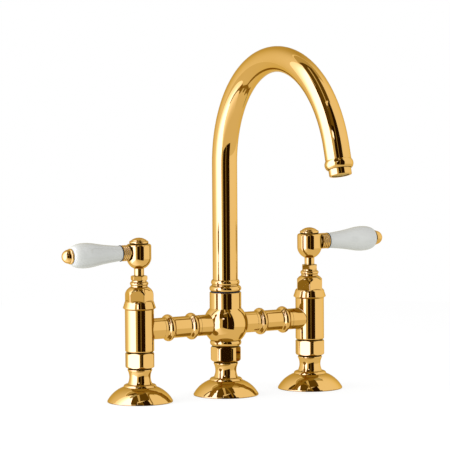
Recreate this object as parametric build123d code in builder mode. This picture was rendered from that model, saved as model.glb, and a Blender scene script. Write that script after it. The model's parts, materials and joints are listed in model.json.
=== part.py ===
"""Deck-mounted bridge mixer tap with porcelain levers and a swivelling swan-neck spout.

Millimetres. The origin is on the deck, on the middle leg's axis. +Z is up, the spout
points along -Y to the user, and the three legs stand in a row along X.
"""

import os
from math import acos, atan2, cos, degrees, radians, sin, sqrt

from build123d import *

os.makedirs("parts", exist_ok=True)

# Clearances
thread_clearance = 0.05  # radial, between a thread and its hole
running_clearance = 0.08  # radial, between a turning shaft and its bore
face_clearance = 0.05  # between faces that turn on each other
seal_clearance = 0.03  # around an O-ring in its groove

# Row of legs
leg_spacing = 101.6

# Base flange
flange_radius = 33.7
flange_rim_height = 1.4
flange_rim_width = 2.0
flange_wall = 2.6
flange_edge_round = 0.5
dome_height = 15.7
dome_top_radius = 17.0
dome_bulge = 2.0
lip_radius = 2.8
flange_boss_wall = 3.0
flange_boss_length = 10.0

# Deck gasket
gasket_thickness = 1.8
gasket_width = 6.5
gasket_play = 0.1

# Pedestal between flange and union nut
pedestal_height = 16.0
pedestal_shank_radius = 12.0
pedestal_foot_radius = 12.9
pedestal_waist_radius = 11.0
pedestal_waist_level = 8.3  # above the flange
pedestal_rim_radius = 12.6
pedestal_rim_height = 1.9
pedestal_top_radius = 11.4
inlet_radius = 9.3  # G 1/2 female thread
inlet_depth = 15.0
stud_radius = 5.1  # M12 female thread in the middle leg
stud_depth = 20.0
water_radius = 6.0

# Union tail, nut and washer
tail_thread_radius = 8.4
tail_thread_length = 10.0
tail_neck_radius = 9.0
tail_collar_radius = 11.9
tail_collar_height = 3.0
union_washer_thickness = 1.5
nut_gap = 0.5
nut_height = 15.8
nut_flats = 28.6
nut_turned_radius = 15.9
nut_lower_radius = 12.0
nut_lower_round = 3.9
nut_upper_radius = 14.0
nut_upper_round = 3.4
nut_lip_height = 5.0
nut_corner_round = 6.0
outer_nut_turn = 9.0  # degrees from X to a corner
centre_nut_turn = 34.0
union_thread_radius = 12.3
body_gap = 0.8

# Valve bodies
valve_radius = 14.9
valve_edge_round = 1.7
bridge_rise = 22.6  # arm axis above the bodies' undersides
valve_rise = 21.2  # valve top above the arm axis
valve_chamber_radius = 10.6
valve_seat_drop = 12.2
plug_length = 11.4
plug_radius = 12.2
plug_washer_thickness = 1.2

# Bridge arms
arm_radius = 10.85
ball_stub_reach = 33.4
valve_stub_reach = 25.6
arm_spigot_radius = 8.0
arm_spigot_length = 11.0
arm_spigot_play = 0.3
arm_port_radius = 5.2
arm_root_fillet = 0.8
bead_inset = 7.6
bead_round = 3.4
bead_radius = 13.9
bead_fillet = 2.5
sleeve_edge_round = 0.4

# O-rings
ring_section = 1.3
spout_ring_section = 1.8

# Bonnets
bonnet_flats = 26.0
bonnet_dome_radius = 10.5
bonnet_edge_round = 0.8
bonnet_turn = {"left": 21.0, "right": 0.0}  # degrees from X to a corner
skirt_foot_radius = 15.2
skirt_radius = 17.0
skirt_lip = 1.5
skirt_top_radius = 15.35
skirt_height = 5.0
skirt_shoulder = 3.0
skirt_edge_round = 0.4
hexagon_height = 7.1

# Gland nuts
gland_radius = 8.75
gland_foot_height = 1.7
gland_bead_radius = 9.5
gland_bead_height = 3.6
gland_neck_radius = 7.8
gland_neck_height = 1.5
gland_flats = 15.2
gland_hexagon_height = 4.5
gland_chamfer = 0.9
gland_edge_round = 0.5
gland_thread_radius = 6.95
gland_thread_length = 10.6

# Quarter-turn ceramic cartridges
cartridge_radius = 9.8
cartridge_bore = 8.4
cartridge_seal_thickness = 2.5
cartridge_seal_width = 3.0
disc_thickness = 3.5
disc_port_radius = 2.4
disc_port_offset = 4.6
disc_slot_width = 3.0
disc_slot_depth = 1.5
window_height = 6.5
window_width = 7.0
chamber_height = 17.5

# Spindles
spindle_radius = 5.15
spindle_core_radius = 3.6
spindle_thrust_height = 3.6
spindle_show = 7.7  # bare length between gland and hub
spindle_square = 6.6
spindle_square_length = 11.4
spindle_ring_pitch = 5.0

# Handle hubs
hub_radius = 12.7
hub_neck_radius = 5.6
hub_lower_round = 10.2  # height of the rounded underside
hub_belly_radius = 10.3
hub_belly_level = 3.9
lever_rise = 16.4  # lever axis above the hub's underside
hub_crown = 8.6  # hub top above the lever axis
hub_shoulder = 2.4
hub_bore = 4.6
hub_web = 1.2
hub_seat = 11.2  # flat seat of the ferrule, from the hub's axis
hub_seat_radius = 8.5
hub_screw_radius = 2.1
hub_screw_length = 9.0
hub_screw_head_radius = 4.2
hub_screw_head_height = 3.2
hub_screw_key = 3.0
cap_radius = 9.9
cap_bead_height = 3.2
cap_bead_edge = 8.9
cap_dome_radius = 7.9
cap_dome_height = 3.2
cap_round = 1.2
cap_plug_length = 5.0

# Levers, measured outward from the hub's axis
rod_radius = 3.0
rod_start = 6.4
ferrule_neck_radius = 5.9
ferrule_neck_length = 1.8
ferrule_rib_radius = 8.2
ferrule_groove_radius = 7.4
ferrule_rib_count = 4
ferrule_rib_pitch = 2.2
grip_end_radius = 7.7
grip_length = 56.5
grip_belly_radius = 12.9
grip_belly_place = 42.6
grip_waist_radius = 10.65
grip_waist_place = 24.0
grip_tip_radius = 7.9
grip_edge_round = 0.7
finial_ring_radius = 8.0
finial_ring_width = 2.6
finial_neck_radius = 7.2
finial_length = 7.6
finial_thread_depth = 5.5

# Middle body
ball_radius = 23.1
foot_bead_radius = 16.2
foot_bead_height = 5.2
foot_bead_edge = 14.4
socket_radius = 16.4
socket_rise = 33.0  # body top above the arm axis
socket_edge_round = 0.6
socket_floor = 10.3  # bottom of the spout socket above the arm axis
chamber_radius = 9.0
chamber_drop = 12.0

# Spout swivel
swivel_washer_thickness = 1.2
swivel_washer_radius = 15.2
tail_radius = 13.0
tail_bore = 9.5
tail_end_play = 0.5
tail_plug_length = 20.0
tail_flange_height = 1.0
tail_groove_depth = 1.4
tail_groove_level = 9.0  # below the body's top
spout_ring_levels = (4.5, 16.5)  # below the body's top
grub_radius = 2.5
grub_point_radius = 1.5
grub_point_length = 1.2
grub_sink = 0.4
grub_key = 2.5
grub_play = 0.3

# Spout
tube_radius = 13.0
tube_wall = 1.5
riser_height = 131.85
bend_radius = 113.0
bend_angle = 164.0
tip_length = 19.0
collar_foot_radius = 15.3
collar_bead_radius = 16.5
collar_bead_height = 5.8
collar_groove_radius = 14.1
collar_groove_height = 1.0
collar_small_bead_radius = 14.8
collar_height = 11.75
collar_top_radius = 13.4

# Outlet
nozzle_flank_length = 5.5
nozzle_bead_radius = 14.3
nozzle_bead_drop = 3.3
nozzle_foot_radius = 12.6
nozzle_thread_radius = 10.6
nozzle_thread_length = 3.2
aerator_radius = 11.3
aerator_length = 6.8
aerator_round = 0.8
aerator_bore = 9.6
aerator_lip_radius = 8.8
aerator_lip_height = 1.4
aerator_hole_radius = 0.75
aerator_hole_rings = {3.0: 6, 6.0: 12}  # ring radius: holes
aerator_washer_thickness = 1.5
aerator_washer_width = 2.0

# Places of the columns along X, and the way out from the middle on each side
legs = {"left": -leg_spacing, "centre": 0.0, "right": leg_spacing}
sides = {"left": -1, "right": 1}

# Levels above the deck
lip_top = dome_height + lip_radius
pedestal_top = lip_top + pedestal_height
nut_bottom = pedestal_top + nut_gap
nut_top = nut_bottom + nut_height
nut_lip = nut_bottom + nut_lip_height
collar_level = nut_lip + tail_collar_height
spigot_bottom = collar_level + union_washer_thickness
body_bottom = nut_top + body_gap
bridge_level = body_bottom + bridge_rise
valve_top = bridge_level + valve_rise
valve_seat = bridge_level - valve_seat_drop
plug_shoulder = valve_top - plug_length
plug_bottom = plug_shoulder + plug_washer_thickness
skirt_level = valve_top + skirt_lip
skirt_top = skirt_level + skirt_height
hexagon_top = skirt_top + hexagon_height
bonnet_corner = bonnet_flats / sqrt(3)
dome_centre = bonnet_corner - bonnet_dome_radius
dome_sweep = degrees(acos((gland_radius - dome_centre) / bonnet_dome_radius))
bonnet_top = hexagon_top + bonnet_dome_radius * sin(radians(dome_sweep))
gland_thread_bottom = bonnet_top - gland_thread_length
gland_bead_bottom = bonnet_top + gland_foot_height
gland_bead_top = gland_bead_bottom + gland_bead_height
gland_hexagon_bottom = gland_bead_top + gland_neck_height
gland_top = gland_hexagon_bottom + gland_hexagon_height
hub_bottom = gland_top + spindle_show
lever_level = hub_bottom + lever_rise
hub_top = lever_level + hub_crown
cartridge_bottom = valve_seat + cartridge_seal_thickness
rotor_bottom = cartridge_bottom + disc_thickness + face_clearance
rotor_top = rotor_bottom + disc_thickness
cartridge_shoulder = cartridge_bottom + chamber_height
cartridge_top = gland_thread_bottom - face_clearance
spindle_rings = (plug_bottom + spindle_ring_pitch, plug_bottom + 2 * spindle_ring_pitch)
square_top = hub_bottom + spindle_square_length
web_top = square_top + hub_web
body_top = bridge_level + socket_rise
socket_bottom = bridge_level + socket_floor
collar_bottom = body_top + swivel_washer_thickness + face_clearance
collar_top = collar_bottom + collar_height
tube_bottom = collar_bottom + tail_flange_height
bend_level = collar_bottom + riser_height

# Stations along the arms, levers and outlet
sleeve_end = leg_spacing - valve_stub_reach
ferrule_ribs_start = hub_seat + ferrule_neck_length
grip_start = ferrule_ribs_start + ferrule_rib_count * ferrule_rib_pitch
finial_start = grip_start + grip_length
finial_neck = finial_start + finial_ring_width
finial_tip = finial_neck + finial_length
rod_end = finial_start + finial_thread_depth
nozzle_bead_place = tip_length
nozzle_start = nozzle_bead_place - nozzle_flank_length
nozzle_end = nozzle_bead_place + nozzle_bead_drop
tube_end = nozzle_end - nozzle_thread_length
aerator_end = nozzle_end + aerator_length


def upright(x, side=1, level=0.0):
    """Plane through a column's axis: outward to the side, then up."""
    return Plane(origin=(x, 0, level), x_dir=(side, 0, 0), z_dir=(0, -side, 0))


def flat(x, level):
    """Level plane on a column's axis."""
    return Plane(origin=(x, 0, level), x_dir=(1, 0, 0), z_dir=(0, 0, 1))


def column_axis(x):
    """Upright axis of a column."""
    return Axis((x, 0, 0), (0, 0, 1))


def outward_axis(x, side, level):
    """Level axis from a column out to the side."""
    return Axis((x, 0, level), (side, 0, 0))


def stepped(plane, *points):
    """Closed outline of straight steps."""
    with BuildSketch(plane) as outline:
        with BuildLine():
            Polyline(*points, close=True)
        make_face()
    return outline.sketch


def ring_outline(plane, inner, outer, low, high):
    """Half section of a plain ring."""
    return stepped(plane, (inner, low), (outer, low), (outer, high), (inner, high))


def o_ring(plane, groove_radius, section, level):
    """Section of an O-ring that lies in a groove."""
    with BuildSketch(plane) as outline:
        with Locations((groove_radius + section / 2 + seal_clearance, level)):
            Circle(section / 2)
    return outline.sketch


def seal_space(section):
    """Depth of an O-ring groove, out to the bore."""
    return section + 2 * seal_clearance


def round_corner(outline, place, radius):
    """Round the outline's corner at that place."""
    corner = outline.vertices().sort_by_distance(place)[0]
    fillet(corner, radius=radius)


def save(piece, name):
    """Name a finished piece and write it."""
    piece.part.label = name
    export_step(piece.part, f"parts/{name}.step")


# Base flanges: spun domes with a rolled lip and a bored boss
shank_bore = pedestal_shank_radius + thread_clearance
rim_inner = flange_radius - flange_rim_width
boss_radius = shank_bore + flange_boss_wall
for name, x in legs.items():
    with BuildPart() as flange:
        with BuildSketch(upright(x)) as outline:
            with BuildLine():
                Polyline((rim_inner, 0), (flange_radius, 0), (flange_radius, flange_rim_height))
                dome_start = (flange_radius, flange_rim_height)
                SagittaArc(dome_start, (dome_top_radius, dome_height), -dome_bulge)
                CenterArc((dome_top_radius - lip_radius, dome_height), lip_radius, 0, 90)
                Polyline(
                    (dome_top_radius - lip_radius, lip_top),
                    (shank_bore, lip_top),
                    (shank_bore, lip_top - flange_boss_length),
                    (boss_radius, lip_top - flange_boss_length),
                    (boss_radius, dome_height - flange_wall),
                )
                recess = (rim_inner - flange_wall / 2, gasket_thickness)
                SagittaArc((boss_radius, dome_height - flange_wall), recess, dome_bulge)
                Polyline(recess, (rim_inner, gasket_thickness), (rim_inner, 0))
            make_face()
            round_corner(outline, (flange_radius, 0), flange_edge_round)
            round_corner(outline, dome_start, flange_edge_round)
        revolve(axis=column_axis(x))
    save(flange, f"{name}_flange")

# Deck gaskets, one under each flange
with BuildPart() as deck_gaskets:
    for x in legs.values():
        outer = rim_inner - gasket_play
        gasket = ring_outline(upright(x), outer - gasket_width, outer, 0, gasket_thickness)
        revolve(gasket, axis=column_axis(x))
save(deck_gaskets, "deck_gaskets")

# Pedestals: waisted necks, tapped from below and socketed for the union tails
rim_level = pedestal_top - pedestal_rim_height
tail_socket = tail_thread_radius + thread_clearance
tail_bottom = pedestal_top - tail_thread_length
for name, x in legs.items():
    with BuildPart() as pedestal:
        with BuildSketch(upright(x)):
            with BuildLine():
                Polyline(
                    (0, 0),
                    (pedestal_shank_radius, 0),
                    (pedestal_shank_radius, lip_top),
                    (pedestal_foot_radius, lip_top),
                )
                ThreePointArc(
                    (pedestal_foot_radius, lip_top),
                    (pedestal_waist_radius, lip_top + pedestal_waist_level),
                    (pedestal_rim_radius, rim_level),
                )
                ThreePointArc(
                    (pedestal_rim_radius, rim_level),
                    (pedestal_rim_radius, rim_level + pedestal_rim_height / 2),
                    (pedestal_top_radius, pedestal_top),
                )
                Polyline((pedestal_top_radius, pedestal_top), (0, pedestal_top), (0, 0))
            make_face()
        revolve(axis=column_axis(x))
        with BuildSketch(flat(x, tail_bottom)):
            Circle(tail_socket)
        extrude(amount=tail_thread_length, mode=Mode.SUBTRACT)
        if name == "centre":
            with BuildSketch(flat(x, 0)):
                Circle(stud_radius)
            extrude(amount=stud_depth, mode=Mode.SUBTRACT)
        else:
            with BuildSketch(flat(x, 0)):
                Circle(inlet_radius)
            extrude(amount=inlet_depth, mode=Mode.SUBTRACT)
            with BuildSketch(flat(x, 0)):
                Circle(water_radius)
            extrude(amount=tail_bottom, mode=Mode.SUBTRACT)
    save(pedestal, f"{name}_pedestal")

# Union tails: collared tubes screwed into the pedestals
with BuildPart() as union_tails:
    for x in legs.values():
        tail = stepped(
            upright(x),
            (water_radius, tail_bottom),
            (tail_thread_radius, tail_bottom),
            (tail_thread_radius, pedestal_top),
            (tail_neck_radius, pedestal_top),
            (tail_neck_radius, nut_lip),
            (tail_collar_radius, nut_lip),
            (tail_collar_radius, collar_level),
            (water_radius, collar_level),
        )
        revolve(tail, axis=column_axis(x))
save(union_tails, "union_tails")

# Union washers between the tails' collars and the bodies' spigots
with BuildPart() as union_washers:
    for x in legs.values():
        washer = ring_outline(upright(x), water_radius, tail_collar_radius, collar_level, spigot_bottom)
        revolve(washer, axis=column_axis(x))
save(union_washers, "union_washers")

# Union nuts: hexagons with turned ends
nut_thread = union_thread_radius + thread_clearance
nut_lip_bore = tail_neck_radius + running_clearance
for name, x in legs.items():
    nut_turn = centre_nut_turn if name == "centre" else outer_nut_turn
    with BuildPart() as nut:
        with BuildSketch(upright(x)):
            with BuildLine():
                lower = nut_bottom + nut_lower_round
                upper = nut_top - nut_upper_round
                Line((0, nut_bottom), (nut_lower_radius, nut_bottom))
                EllipticalCenterArc(
                    (nut_lower_radius, lower),
                    nut_turned_radius - nut_lower_radius,
                    nut_lower_round,
                    start_angle=-90,
                    arc_size=90,
                )
                Line((nut_turned_radius, lower), (nut_turned_radius, upper))
                EllipticalCenterArc(
                    (nut_upper_radius, upper),
                    nut_turned_radius - nut_upper_radius,
                    nut_upper_round,
                    start_angle=0,
                    arc_size=90,
                )
                Polyline((nut_upper_radius, nut_top), (0, nut_top), (0, nut_bottom))
            make_face()
        revolve(axis=column_axis(x))
        with BuildSketch(flat(x, nut_bottom)):
            hexagon = RegularPolygon(nut_flats / 2, 6, major_radius=False, rotation=nut_turn)
            fillet(hexagon.vertices(), radius=nut_corner_round)
        extrude(amount=nut_height, mode=Mode.INTERSECT)
        with BuildSketch(flat(x, nut_bottom)):
            Circle(nut_lip_bore)
        extrude(amount=nut_lip_height, mode=Mode.SUBTRACT)
        with BuildSketch(flat(x, nut_lip)):
            Circle(nut_thread)
        extrude(amount=nut_height - nut_lip_height, mode=Mode.SUBTRACT)
    save(nut, f"{name}_union_nut")


def arm_outline(plane, reach):
    """Half section of an arm's stub and its grooved spigot, out from the column's axis."""
    end = reach + arm_spigot_length
    groove_width = ring_section + 4 * seal_clearance
    groove = reach + (arm_spigot_length - groove_width) / 2
    groove_radius = arm_spigot_radius + thread_clearance - seal_space(ring_section)
    return stepped(
        plane,
        (0, 0),
        (0, arm_radius),
        (reach, arm_radius),
        (reach, arm_spigot_radius),
        (groove, arm_spigot_radius),
        (groove, groove_radius),
        (groove + groove_width, groove_radius),
        (groove + groove_width, arm_spigot_radius),
        (end, arm_spigot_radius),
        (end, 0),
    )


# Valve bodies, each with an arm towards the middle
for name, side in sides.items():
    x = legs[name]
    with BuildPart() as valve_body:
        with BuildSketch(upright(x)):
            with BuildLine():
                Polyline(
                    (0, body_bottom),
                    (valve_radius - valve_edge_round, body_bottom),
                )
                edge_centre = (valve_radius - valve_edge_round, body_bottom + valve_edge_round)
                CenterArc(edge_centre, valve_edge_round, -90, 90)
                Polyline(
                    (valve_radius, body_bottom + valve_edge_round),
                    (valve_radius, valve_top),
                    (0, valve_top),
                    (0, body_bottom),
                )
            make_face()
        revolve(axis=column_axis(x))
        inward = upright(x, -side, bridge_level)
        revolve(arm_outline(inward, valve_stub_reach), axis=outward_axis(x, -side, bridge_level))
        root = valve_body.edges().filter_by(GeomType.BSPLINE)
        fillet(root, radius=arm_root_fillet)
        with BuildSketch(flat(x, spigot_bottom)):
            Circle(union_thread_radius)
        extrude(amount=body_bottom - spigot_bottom)
        bore = stepped(
            upright(x),
            (0, spigot_bottom),
            (water_radius, spigot_bottom),
            (water_radius, valve_seat),
            (valve_chamber_radius, valve_seat),
            (valve_chamber_radius, plug_shoulder),
            (plug_radius + thread_clearance, plug_shoulder),
            (plug_radius + thread_clearance, valve_top),
            (0, valve_top),
        )
        revolve(bore, axis=column_axis(x), mode=Mode.SUBTRACT)
        with BuildSketch(Plane(origin=(x, 0, bridge_level), x_dir=(0, 1, 0), z_dir=(-side, 0, 0))):
            Circle(arm_port_radius)
        extrude(amount=valve_stub_reach + arm_spigot_length, mode=Mode.SUBTRACT)
    save(valve_body, f"{name}_valve_body")

# Middle body: a ball on a beaded foot, with a socket above for the spout
ball_neck = sqrt(ball_radius**2 - socket_radius**2)
foot_top = bridge_level - sqrt(ball_radius**2 - (foot_bead_radius - socket_edge_round) ** 2)
grub_level = body_top - tail_groove_level
with BuildPart() as centre_body:
    with BuildSketch(Plane.XZ):
        with BuildLine():
            Line((0, body_bottom), (foot_bead_edge, body_bottom))
            ThreePointArc(
                (foot_bead_edge, body_bottom),
                (foot_bead_radius, body_bottom + foot_bead_height / 2),
                (foot_bead_radius - socket_edge_round, foot_top),
            )
            ThreePointArc(
                (foot_bead_radius - socket_edge_round, foot_top),
                (ball_radius, bridge_level),
                (socket_radius, bridge_level + ball_neck),
            )
            Line(
                (socket_radius, bridge_level + ball_neck),
                (socket_radius, body_top - socket_edge_round),
            )
            CenterArc(
                (socket_radius - socket_edge_round, body_top - socket_edge_round),
                socket_edge_round,
                0,
                90,
            )
            Polyline(
                (socket_radius - socket_edge_round, body_top),
                (0, body_top),
                (0, body_bottom),
            )
        make_face()
    revolve(axis=Axis.Z)
    for side in sides.values():
        outward = upright(0, side, bridge_level)
        revolve(arm_outline(outward, ball_stub_reach), axis=outward_axis(0, side, bridge_level))
    with BuildSketch(flat(0, spigot_bottom)):
        Circle(union_thread_radius)
    extrude(amount=body_bottom - spigot_bottom)
    bore = stepped(
        Plane.XZ,
        (0, bridge_level - chamber_drop),
        (chamber_radius, bridge_level - chamber_drop),
        (chamber_radius, socket_bottom),
        (tail_radius + running_clearance, socket_bottom),
        (tail_radius + running_clearance, body_top),
        (0, body_top),
    )
    revolve(bore, axis=Axis.Z, mode=Mode.SUBTRACT)
    with BuildSketch(Plane(origin=(0, 0, bridge_level), x_dir=(0, 1, 0), z_dir=(1, 0, 0))):
        Circle(arm_port_radius)
    extrude(amount=ball_stub_reach + arm_spigot_length, both=True, mode=Mode.SUBTRACT)
    with BuildSketch(Plane(origin=(0, 0, grub_level), x_dir=(1, 0, 0), z_dir=(0, 1, 0))):
        Circle(grub_radius + thread_clearance)
    extrude(amount=socket_radius, mode=Mode.SUBTRACT)
save(centre_body, "centre_body")

# Bridge sleeves: beaded tubes over the facing spigots
sleeve_bore = arm_spigot_radius + thread_clearance
spigot_room = arm_spigot_length + arm_spigot_play
for name, side in sides.items():
    with BuildPart() as sleeve:
        with BuildSketch(upright(0, side, bridge_level)) as section:
            stations = (ball_stub_reach, sleeve_end)
            with BuildLine():
                Polyline(
                    (stations[0], 0),
                    (stations[0], arm_radius),
                    (stations[1], arm_radius),
                    (stations[1], 0),
                    close=True,
                )
            make_face()
            with Locations(
                (stations[0] + bead_inset, bead_radius - bead_round),
                (stations[1] - bead_inset, bead_radius - bead_round),
            ):
                Circle(bead_round)
            corners = section.vertices().filter_by(lambda v: stations[0] < abs(v.X) < stations[1])
            fillet(corners, radius=bead_fillet)
            for station in stations:
                round_corner(section, (station, arm_radius), sleeve_edge_round)
        revolve(axis=outward_axis(0, side, bridge_level))
        waterway = stepped(
            upright(0, side, bridge_level),
            (stations[0], 0),
            (stations[0], sleeve_bore),
            (stations[0] + spigot_room, sleeve_bore),
            (stations[0] + spigot_room, water_radius),
            (stations[1] - spigot_room, water_radius),
            (stations[1] - spigot_room, sleeve_bore),
            (stations[1], sleeve_bore),
            (stations[1], 0),
        )
        revolve(waterway, axis=outward_axis(0, side, bridge_level), mode=Mode.SUBTRACT)
    save(sleeve, f"{name}_bridge_sleeve")

# O-rings on the arms' spigots
arm_groove_radius = sleeve_bore - seal_space(ring_section)
with BuildPart() as bridge_seals:
    for side in sides.values():
        for station in (
            ball_stub_reach + arm_spigot_length / 2,
            sleeve_end - arm_spigot_length / 2,
        ):
            with BuildSketch(upright(0, side, bridge_level)):
                with Locations((station, arm_groove_radius + ring_section / 2 + seal_clearance)):
                    Circle(ring_section / 2)
            revolve(axis=outward_axis(0, side, bridge_level))
save(bridge_seals, "bridge_seals")

# Bonnets: domed hexagons with a flared skirt over the valve body and a threaded plug in it
cartridge_hole = cartridge_radius + thread_clearance
gland_hole = gland_thread_radius + thread_clearance
for name, x in legs.items():
    if name == "centre":
        continue
    with BuildPart() as bonnet:
        with BuildSketch(upright(x)):
            with BuildLine():
                Polyline((0, valve_top), (bonnet_corner, valve_top), (bonnet_corner, hexagon_top))
                CenterArc((dome_centre, hexagon_top), bonnet_dome_radius, 0, dome_sweep)
                Polyline((gland_radius, bonnet_top), (0, bonnet_top), (0, valve_top))
            make_face()
        revolve(axis=column_axis(x))
        with BuildSketch(flat(x, valve_top)):
            turn = bonnet_turn[name]
            hexagon = RegularPolygon(bonnet_flats / 2, 6, major_radius=False, rotation=turn)
            fillet(hexagon.vertices(), radius=bonnet_edge_round)
        extrude(amount=bonnet_top - valve_top, mode=Mode.INTERSECT)
        with BuildSketch(upright(x)) as outline:
            with BuildLine():
                Polyline(
                    (0, plug_bottom),
                    (plug_radius, plug_bottom),
                    (plug_radius, valve_top),
                    (skirt_foot_radius, valve_top),
                    (skirt_radius, skirt_level),
                    (skirt_top_radius, skirt_top),
                )
                shoulder_top = (bonnet_flats / 2, skirt_top + skirt_shoulder)
                SagittaArc((skirt_top_radius, skirt_top), shoulder_top, -skirt_shoulder / 5)
                Polyline(shoulder_top, (0, skirt_top + skirt_shoulder), (0, plug_bottom))
            make_face()
            round_corner(outline, (skirt_radius, skirt_level), skirt_edge_round)
        revolve(axis=column_axis(x))
        bore = stepped(
            upright(x),
            (0, plug_bottom),
            (cartridge_hole, plug_bottom),
            (cartridge_hole, gland_thread_bottom),
            (gland_hole, gland_thread_bottom),
            (gland_hole, bonnet_top),
            (0, bonnet_top),
        )
        revolve(bore, axis=column_axis(x), mode=Mode.SUBTRACT)
    save(bonnet, f"{name}_bonnet")

# Sealing washers under the bonnets' plugs
with BuildPart() as bonnet_seals:
    for side in sides.values():
        x = side * leg_spacing
        washer = ring_outline(upright(x), valve_chamber_radius, plug_radius, plug_shoulder, plug_bottom)
        revolve(washer, axis=column_axis(x))
save(bonnet_seals, "bonnet_seals")

# Gland nuts: a bead below a small hexagon, screwed into the bonnets
spindle_bore = spindle_radius + running_clearance
gland_corner = gland_flats / sqrt(3)
for name, side in sides.items():
    x = legs[name]
    with BuildPart() as gland_nut:
        with BuildSketch(upright(x)):
            with BuildLine():
                Polyline(
                    (0, gland_hexagon_bottom),
                    (gland_corner - gland_chamfer, gland_hexagon_bottom),
                    (gland_corner, gland_hexagon_bottom + gland_chamfer),
                    (gland_corner, gland_top - gland_chamfer),
                    (gland_corner - gland_chamfer, gland_top),
                    (0, gland_top),
                    close=True,
                )
            make_face()
        revolve(axis=column_axis(x))
        with BuildSketch(flat(x, gland_hexagon_bottom)):
            turn = bonnet_turn[name]
            hexagon = RegularPolygon(gland_flats / 2, 6, major_radius=False, rotation=turn)
            fillet(hexagon.vertices(), radius=gland_edge_round)
        extrude(amount=gland_hexagon_height, mode=Mode.INTERSECT)
        with BuildSketch(upright(x)):
            with BuildLine():
                Polyline(
                    (0, gland_thread_bottom),
                    (gland_thread_radius, gland_thread_bottom),
                    (gland_thread_radius, bonnet_top),
                    (gland_radius, bonnet_top),
                    (gland_radius, gland_bead_bottom),
                )
                ThreePointArc(
                    (gland_radius, gland_bead_bottom),
                    (gland_bead_radius, gland_bead_bottom + gland_bead_height / 2),
                    (gland_neck_radius, gland_bead_top),
                )
                Polyline(
                    (gland_neck_radius, gland_bead_top),
                    (gland_flats / 2, gland_hexagon_bottom),
                    (0, gland_hexagon_bottom),
                    (0, gland_thread_bottom),
                )
            make_face()
        revolve(axis=column_axis(x))
        with BuildSketch(flat(x, gland_thread_bottom)):
            Circle(spindle_bore)
        extrude(amount=gland_top - gland_thread_bottom, mode=Mode.SUBTRACT)
    save(gland_nut, f"{name}_gland_nut")

# Cartridge bodies: sleeves with side windows, closed above by the spindle's bush
disc_radius = cartridge_bore - running_clearance
window_bottom = rotor_top + face_clearance
for name, side in sides.items():
    x = legs[name]
    with BuildPart() as cartridge_body:
        shell = stepped(
            upright(x),
            (cartridge_bore, cartridge_bottom),
            (cartridge_radius, cartridge_bottom),
            (cartridge_radius, cartridge_top),
            (spindle_bore, cartridge_top),
            (spindle_bore, cartridge_shoulder),
            (cartridge_bore, cartridge_shoulder),
        )
        revolve(shell, axis=column_axis(x))
        window_level = window_bottom + window_height / 2
        with BuildSketch(Plane(origin=(x, 0, window_level), x_dir=(0, 1, 0), z_dir=(1, 0, 0))):
            Rectangle(window_width, window_height)
        extrude(amount=cartridge_radius, both=True, mode=Mode.SUBTRACT)
    save(cartridge_body, f"{name}_cartridge_body")

# Cartridge seals on the valve seats
with BuildPart() as cartridge_seals:
    for side in sides.values():
        x = side * leg_spacing
        inner = cartridge_radius - cartridge_seal_width
        seal = ring_outline(upright(x), inner, cartridge_radius, valve_seat, cartridge_bottom)
        revolve(seal, axis=column_axis(x))
save(cartridge_seals, "cartridge_seals")

# Fixed ceramic discs, their ports along Y
for name, side in sides.items():
    x = legs[name]
    with BuildPart() as fixed_disc:
        with BuildSketch(flat(x, cartridge_bottom)):
            Circle(disc_radius)
            with Locations((0, disc_port_offset), (0, -disc_port_offset)):
                Circle(disc_port_radius, mode=Mode.SUBTRACT)
        extrude(amount=disc_thickness)
    save(fixed_disc, f"{name}_fixed_disc")

# Turning ceramic discs, their ports along X while the tap is shut, with a slot for the spindle
for name, side in sides.items():
    x = legs[name]
    with BuildPart() as rotor_disc:
        with BuildSketch(flat(x, rotor_bottom)):
            Circle(disc_radius)
            with Locations((disc_port_offset, 0), (-disc_port_offset, 0)):
                Circle(disc_port_radius, mode=Mode.SUBTRACT)
        extrude(amount=disc_thickness)
        with BuildSketch(flat(x, rotor_top)):
            Rectangle(disc_slot_width, 2 * disc_radius)
        extrude(amount=-disc_slot_depth, mode=Mode.SUBTRACT)
    save(rotor_disc, f"{name}_rotor_disc")

# Spindles: a key in the turning disc, a thrust flange, grooves for O-rings and a square for the hub
thrust_top = cartridge_shoulder - face_clearance
spindle_groove_radius = spindle_bore - seal_space(ring_section)
spindle_groove_width = ring_section + 4 * seal_clearance
key_width = disc_slot_width - 2 * thread_clearance
for name, side in sides.items():
    x = legs[name]
    with BuildPart() as spindle:
        shaft = stepped(
            upright(x),
            (0, rotor_top),
            (spindle_core_radius, rotor_top),
            (spindle_core_radius, thrust_top - spindle_thrust_height),
            (disc_radius, thrust_top - spindle_thrust_height),
            (disc_radius, thrust_top),
            (spindle_radius, thrust_top),
            (spindle_radius, hub_bottom),
            (0, hub_bottom),
        )
        revolve(shaft, axis=column_axis(x))
        for level in spindle_rings:
            low = level - spindle_groove_width / 2
            groove = ring_outline(
                upright(x),
                spindle_groove_radius,
                spindle_bore,
                low,
                low + spindle_groove_width,
            )
            revolve(groove, axis=column_axis(x), mode=Mode.SUBTRACT)
        with BuildSketch(flat(x, rotor_top)):
            Rectangle(key_width, 2 * spindle_core_radius)
        extrude(amount=-(disc_slot_depth - face_clearance))
        with BuildSketch(flat(x, hub_bottom)):
            Rectangle(spindle_square, spindle_square)
        extrude(amount=spindle_square_length)
        with BuildSketch(flat(x, square_top)):
            Circle(hub_screw_radius + thread_clearance)
        extrude(amount=-hub_screw_length, mode=Mode.SUBTRACT)
    save(spindle, f"{name}_spindle")

    with BuildPart() as spindle_seals:
        for level in spindle_rings:
            ring = o_ring(upright(x), spindle_groove_radius, ring_section, level)
            revolve(ring, axis=column_axis(x))
    save(spindle_seals, f"{name}_spindle_seals")

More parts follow.
